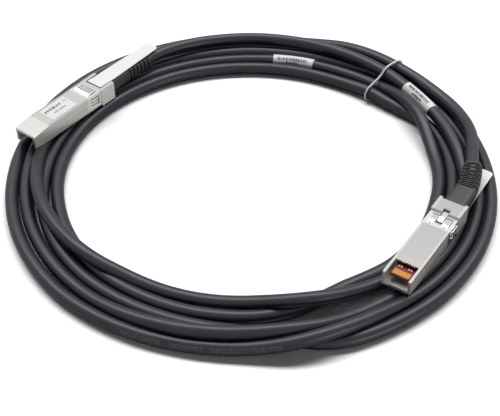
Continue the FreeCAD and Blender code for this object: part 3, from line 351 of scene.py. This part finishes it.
# Wrap labels: two bands of white film wound once round a single turn of the cable, each lapped on
# itself along one line, with rows of plain printed marks. Angles round the cable start from straight
# up, and lengths are in metres along it.
label_film = skin_finish(
    "label_film", (0.84, 0.84, 0.85), (0.8, 0.8, 0.81),
    rough=0.4, grain=1500, mottle=150, depth=0.00001,
)
print_ink = skin_finish(
    "print_ink", (0.07, 0.07, 0.08), (0.16, 0.16, 0.18),
    rough=0.5, grain=2000, mottle=900, depth=0.000005,
)
label_length = 0.024
film_height, lap_height, print_height = 0.00012, 0.0001, 0.00036
film_wave, rim_tuck = 0.00005, 0.00005
lap = range(8, 18)
along_cable = [0.0]
for before, after in zip(cable_points, cable_points[1:]):
    along_cable.append(along_cable[-1] + (after - before).length)


def on_cable(distance, around, radius):
    """A point beside the cable's line: how far along it, the angle from straight up, how far out."""
    number = next(i for i, reached in enumerate(along_cable) if reached >= distance)
    number = max(1, min(len(along_cable) - 2, number))
    before, after = cable_points[number - 1], cable_points[number]
    ahead = (cable_points[number + 1] - cable_points[max(0, number - 2)]).normalized()
    share = (distance - along_cable[number - 1]) / (along_cable[number] - along_cable[number - 1])
    up = (Vector((0, 0, 1)) - ahead * ahead.z).normalized()
    side = ahead.cross(up)
    return before.lerp(after, share) + (up * math.cos(around) + side * math.sin(around)) * radius


def ink_marks(name, rows, place, finish):
    """Rows of short printed bars. A row is its place across, its height, its two ends and a seed."""
    corners, faces = [], []
    for across, tall, first, last, seed in rows:
        draw = random.Random(seed)
        here = first
        while here < last:
            wide = tall * draw.uniform(0.25, 0.75)
            low = across - tall / 2 * draw.uniform(0.7, 1)
            high = across + tall / 2 * draw.uniform(0.7, 1)
            start = len(corners)
            corners += [
                place(here, low), place(here + wide, low), place(here + wide, high), place(here, high),
            ]
            faces.append((start, start + 1, start + 2, start + 3))
            here += wide + tall * draw.uniform(0.15, 0.5)
    built(name, corners, faces, finish, "cable", smooth=False)


for number, facing in ((1, 0.8), (2, 0.5)):
    low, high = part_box(f"cable_label_{number}")
    middle = (low + high) / 2
    near = min(range(len(cable_points)), key=lambda i: (cable_points[i] - middle).length)
    start = along_cable[near] - label_length / 2
    corners = []
    rings, around = 49, 48
    for ring in range(rings):
        for i in range(around):
            turn = 2 * math.pi * i / around
            lapped = lap_height if i in lap else 0
            spot = Vector((ring / 5, math.cos(turn) * 2, math.sin(turn) * 2))
            wave = film_wave * noise.noise(spot)
            out = cable_diameter / 2 + film_height + lapped + wave
            if ring in (0, rings - 1):
                out = cable_diameter / 2 - rim_tuck
            distance = label_length * max(1, min(rings - 2, ring)) / (rings - 1)
            corners.append(on_cable(start + distance, turn, out))
    label = built(
        f"wrap_label_{number}", corners, swept_faces(rings, around), label_film, "cable",
    )
    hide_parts(f"cable_label_{number}")
    ink_marks(
        f"wrap_marks_{number}",
        [(-0.0009, 0.0015, 0.003, 0.02, number), (0.0011, 0.0012, 0.008, 0.015, number + 5)],
        lambda here, across: on_cable(
            start + here, facing + across * 2 / cable_diameter, cable_diameter / 2 + print_height,
        ),
        print_ink,
    )

# Jacket print: faint rows of small ink marks on the outermost turn at the front, as a cable's type
# marking looks from this far away. They are plain bars in two strips that follow the round jacket.
jacket_ink = skin_finish(
    "jacket_ink", (0.09, 0.095, 0.105), (0.05, 0.054, 0.06),
    rough=0.5, grain=2000, mottle=500, depth=0.000005,
)
facing_front, ink_height = -1.05, 0.00007
print_start = Vector((0.014, -0.1135, 0.0055))
first_mark = min(range(len(cable_points)), key=lambda i: (cable_points[i] - print_start).length)
ink_marks(
    "jacket_marks",
    [(across, 0.001, first, last, seed) for across in (-0.0005, 0.0005)
     for first, last, seed in ((0, 0.03, 21), (0.033, 0.047, 22), (0.051, 0.068, 23))],
    lambda here, across: on_cable(
        along_cable[first_mark] + here, facing_front + across * 2 / cable_diameter,
        cable_diameter / 2 + ink_height,
    ),
    jacket_ink,
)

# Plug bodies: two diecast zinc shells with a dull nickel plating, laid with the label face up at the
# first end and the latch face up at the second. Plug sizes are in millimetres from the nose.
plug_places = {
    "a": Matrix.Translation((-0.111, 0.0156, 0.017)) @ Matrix.Rotation(math.radians(52.6), 4, "Z")
    @ Matrix.Rotation(math.pi, 4, "X"),
    "b": Matrix.Translation((0.0631, -0.0846, 0.0075)) @ Matrix.Rotation(math.radians(56.8), 4, "Z"),
}


def in_plug(end, x, y, z):
    """A point of one plug, given from its nose in millimetres."""
    return plug_places[end] @ Vector((x / 1000, y / 1000, z / 1000))


# The shell edges are painted lighter, part handling wear and part a painted edge highlight.
plated_diecast = skin_finish(
    "plated_diecast", (0.68, 0.665, 0.635), (0.64, 0.625, 0.6),
    rough=0.24, grain=3000, mottle=420, depth=0.00001, metal=0.45,
    edge_reach=0.00025, edge_wear_and_highlight_colour=(0.92, 0.91, 0.88),
)
for end in "ab":
    dress(f"base_shell_{end}", plated_diecast)

# Cover plates: folded nickel silver, flatter and greyer than the casting, dropped between its walls
# to close the latch side.
# The plate edges are painted lighter, part handling wear and part a painted edge highlight.
cover_satin = skin_finish(
    "cover_satin", (0.58, 0.57, 0.565), (0.56, 0.55, 0.545),
    rough=0.2, grain=3500, mottle=500, depth=0.000006, metal=1.0,
    edge_reach=0.0002, edge_wear_and_highlight_colour=(0.8, 0.79, 0.78),
)
for end in "ab":
    dress(f"cover_plate_{end}", cover_satin)

# Spring finger collars: bands stamped from bright stainless strip, with bowed fingers over their
# windows that touch the cage all round.
# The collar edges are painted lighter, part handling wear and part a painted edge highlight.
collar_steel = skin_finish(
    "collar_steel", (0.82, 0.81, 0.8), (0.72, 0.71, 0.7),
    rough=0.22, grain=3000, mottle=400, depth=0.000005, metal=1.0,
    edge_reach=0.00012, edge_wear_and_highlight_colour=(0.95, 0.95, 0.94),
)
for end in "ab":
    dress(f"emi_collar_{end}", collar_steel)

# Latches, pins and sliders: stamped steel, satin from tumbling. The slider lifts the latch's tail when
# the tab is pulled, and the latch turns on its pin.
# The latch, pin and slider edges are painted lighter, part handling wear and part a painted edge
# highlight.
latch_steel = skin_finish(
    "latch_steel", (0.6, 0.59, 0.57), (0.54, 0.53, 0.51),
    rough=0.26, grain=3000, mottle=400, depth=0.000005, metal=1.0,
    edge_reach=0.00015, edge_wear_and_highlight_colour=(0.85, 0.84, 0.82),
)
for end in "ab":
    for piece_name in ("latch", "latch_pin", "slider"):
        dress(f"{piece_name}_{end}", latch_steel)

# Circuit boards: thin boards under a dark red solder mask, with a chip and four small capacitors, and
# ten gold plated fingers on each face of the mating edge.
board_mask = skin_finish(
    "board_mask", (0.2, 0.006, 0.008), (0.13, 0.004, 0.006),
    rough=0.3, grain=2500, mottle=300, depth=0.000005,
)
chip_epoxy = skin_finish(
    "chip_epoxy", (0.02, 0.02, 0.02), (0.03, 0.03, 0.03),
    rough=0.5, grain=4000, mottle=300, depth=0.00001,
)
capacitor_clay = skin_finish(
    "capacitor_clay", (0.7, 0.6, 0.52), (0.8, 0.76, 0.72),
    rough=0.4, grain=3000, mottle=800, depth=0.00001,
)
finger_gold = skin_finish(
    "finger_gold", (0.62, 0.31, 0.07), (0.5, 0.24, 0.05),
    rough=0.3, grain=3000, mottle=600, depth=0.000003, metal=1.0,
)
board_middle, board_half = 5.75, 0.51
fingers, finger_pitch, finger_start, finger_end = 10, 0.8, 3.62, 6.78
finger_half, finger_height, finger_bevel = 0.27, 0.08, 0.03
finger_outline = ((finger_start, -1), (finger_end, -1), (finger_end, 1), (finger_start, 1))
for end in "ab":
    dress(f"circuit_board_{end}", board_mask)
    dress(f"memory_chip_{end}", chip_epoxy)
    dress(f"capacitors_{end}", capacitor_clay)
    corners, faces = [], []
    for side in (1, -1):
        for number in range(fingers):
            middle = (number - (fingers - 1) / 2) * finger_pitch
            foot = board_middle + side * board_half
            start = len(corners)
            for inset, height in ((0, foot), (finger_bevel, foot + side * finger_height)):
                for x, y in finger_outline:
                    shift = inset if x == finger_start else -inset
                    corners.append(in_plug(end, x + shift, middle + y * (finger_half - inset), height))
            for i in range(4):
                beside = (i + 1) % 4
                faces.append((start + i, start + beside, start + 4 + beside, start + 4 + i))
            faces.append((start, start + 1, start + 2, start + 3))
            faces.append((start + 4, start + 5, start + 6, start + 7))
    built(f"gold_fingers_{end}", corners, faces, finger_gold, "cable", smooth=False)

# Cable ends inside the heads: two foil screened pairs soldered to the board, and the oval sleeve that
# is crimped over the braid.
wire_skin = skin_finish(
    "wire_skin", (0.45, 0.46, 0.5), (0.35, 0.36, 0.4),
    rough=0.35, grain=2000, mottle=200, depth=0.00001,
)
ferrule_tin = skin_finish(
    "ferrule_tin", (0.5, 0.48, 0.44), (0.42, 0.4, 0.37),
    rough=0.4, grain=2500, mottle=200, depth=0.00001, metal=1.0,
)
for end in "ab":
    dress(f"wire_pair_upper_{end}", wire_skin)
    dress(f"wire_pair_lower_{end}", wire_skin)
    dress(f"crimp_ferrule_{end}", ferrule_tin)

# Pull tabs: straps of milky polyester film, looped through the slider and run out beside the boot to
# a rounded tip.
tab_film = skin_finish(
    "tab_film", (0.93, 0.94, 0.95), (0.9, 0.91, 0.92),
    rough=0.3, grain=1500, mottle=150, depth=0.000005,
)
for end in "ab":
    dress(f"pull_tab_{end}", tab_film)

# Strain relief boots: moulded in black rubber round the cable, a flat block at the head and then rows
# of slots, each row staggered against the last, that let the boot bend with the cable.
boot_rubber = skin_finish(
    "boot_rubber", (0.012, 0.012, 0.014), (0.02, 0.02, 0.022),
    rough=0.45, grain=2200, mottle=120, depth=0.00002,
)
boot_root, boot_length, boot_straight = 57.3, 33.2, 8.7
slot_rows, first_slot, slot_pitch, slot_depth = 13, 13.6, 1.375, 0.8
slot_half, slot_floor_half, slot_slope = 0.46, 0.32, 0.4
middle_rib_half, side_rib = 1.0, 1.2
tip_start, tip_taper, mouth_edge, mouth_radius = 30.6, 0.2, 0.25, 3.28
for end, bend in (("a", 8.4), ("b", 25.8)):
    rings = [(along, 0.0, 0) for along in (0, 3, 6, 9, 11.5, 12.8)]
    for row in range(slot_rows):
        middle = first_slot + row * slot_pitch
        rings += [
            (middle - slot_half, 0, row), (middle - slot_floor_half, 1, row),
            (middle + slot_floor_half, 1, row), (middle + slot_half, 0, row),
        ]
    rings += [(along, 0.0, 0) for along in (31.4, 32.2, 32.8, 33.1, boot_length, boot_length)]
    corners = []
    around = 80
    for number, (along, deep, row) in enumerate(rings):
        share = along / boot_length
        half_width, half_height = 5.4 - 0.8 * share, 3.5 + 0.7 * share
        middle_height = 4.75 + 0.5 * share
        roundness = 2 / (5.5 - 2.7 * share)
        bent = max(0, along - boot_straight) / (boot_length - boot_straight)
        turned = math.radians(bend) * bent
        radius = (boot_length - boot_straight) / math.radians(bend)
        x = boot_root + min(along, boot_straight) + radius * math.sin(turned)
        y = radius * (1 - math.cos(turned))
        shrink = max(0, along - tip_start) * tip_taper + (mouth_edge if number == len(rings) - 2 else 0)
        for i in range(around):
            turn = 2 * math.pi * i / around
            side, up = math.cos(turn), math.sin(turn)
            across = math.copysign(abs(side) ** roundness, side)
            rise = math.copysign(abs(up) ** roundness, up)
            if row % 2:
                cut = min(1, max(0, (abs(across) * half_width - middle_rib_half) / slot_slope))
            else:
                cut = min(1, max(0, (half_width - side_rib - abs(across) * half_width) / slot_slope))
            inward = shrink + slot_depth * deep * cut
            wide = across * (half_width - inward)
            tall = rise * (half_height - inward)
            if number == len(rings) - 1:
                wide, tall = side * mouth_radius, up * mouth_radius
            corners.append(in_plug(
                end, x - wide * math.sin(turned), y + wide * math.cos(turned), middle_height + tall,
            ))
    boot = built(
        f"boot_skin_{end}", corners, swept_faces(len(rings), around), boot_rubber,
        "cable",
    )
    boot.data.set_sharp_from_angle(angle=math.radians(35))
    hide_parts(f"boot_{end}")

# Plug labels: small film stickers on the label faces, printed with two rows and a short block of
# plain bars.
print_place, ink_face = 14.8, 0.13
for end in "ab":
    dress(f"plug_label_{end}", label_film)
    ink_marks(
        f"plug_marks_{end}",
        [(-2.1, 1.9, 1.2, 12.5, 11), (1.4, 1.1, 4.5, 12, 12), (-2.4, 0.9, 14, 15.6, 13)],
        lambda here, across: in_plug(end, print_place + here, across, -ink_face),
        print_ink,
    )

# Floor and light: a plain white table, a wide bank of lamps high behind it and a low card at the front
# right. The room is white to the camera, a little duller in the metal that mirrors it, and adds almost
# no light of its own.
floor_mesh = bpy.data.meshes.new("floor")
floor_reach, floor_drop = 3, 0.0001
floor_mesh.from_pydata(
    [(x * floor_reach, y * floor_reach, 0) for x, y in ((-1, -1), (1, -1), (1, 1), (-1, 1))],
    [], [(0, 1, 2, 3)],
)
floor = bpy.data.objects.new("floor", floor_mesh)
floor.location.z = -floor_drop
scene.collection.objects.link(floor)
table_white = bpy.data.materials.new("table_white")
table_white.use_nodes = True
nodes, links = table_white.node_tree.nodes, table_white.node_tree.links
nodes.remove(nodes["Principled BSDF"])
chalk = nodes.new("ShaderNodeBsdfDiffuse")
ray = nodes.new("ShaderNodeLightPath")
lit_grey, seen_white = (0.7, 0.7, 0.7), (1.35, 1.35, 1.35)
paint = mixed(nodes, links, ray.outputs["Is Camera Ray"], lit_grey, seen_white)
links.new(paint, chalk.inputs["Color"])
links.new(chalk.outputs["BSDF"], nodes["Material Output"].inputs["Surface"])
floor_mesh.materials.append(table_white)

room = bpy.data.worlds.new("room")
scene.world = room
room.use_nodes = True
nodes, links = room.node_tree.nodes, room.node_tree.links
glow = nodes["Background"]
glow.inputs["Color"].default_value = (1, 1, 1, 1)
seen = nodes.new("ShaderNodeLightPath")
either = nodes.new("ShaderNodeMath")
either.operation = "MAXIMUM"
links.new(seen.outputs["Is Camera Ray"], either.inputs[0])
links.new(seen.outputs["Is Transmission Ray"], either.inputs[1])
soft = nodes.new("ShaderNodeMath")
soft.operation = "MULTIPLY_ADD"
mirrored, ambient = 0.77, 0.05
soft.inputs[1].default_value = mirrored
soft.inputs[2].default_value = ambient
links.new(seen.outputs["Is Glossy Ray"], soft.inputs[0])
level = nodes.new("ShaderNodeMath")
level.operation = "MAXIMUM"
links.new(either.outputs[0], level.inputs[0])
links.new(soft.outputs[0], level.inputs[1])
links.new(level.outputs[0], glow.inputs["Strength"])


def soft_box(name, place, wide, deep, power):
    """A lamp with an oblong face that looks at the middle of the coil."""
    lamp = bpy.data.lights.new(name, "AREA")
    lamp.shape = "RECTANGLE"
    lamp.size = wide
    lamp.size_y = deep
    lamp.energy = power
    holder = bpy.data.objects.new(name, lamp)
    holder.location = place
    holder.rotation_euler = (Vector() - Vector(place)).to_track_quat("-Z", "Y").to_euler()
    scene.collection.objects.link(holder)


soft_box("back_bank", (0, 2, 4.48), wide=8, deep=1.6, power=320)
soft_box("side_card", (4, -4, 0.5), wide=3.2, deep=0.9, power=80)
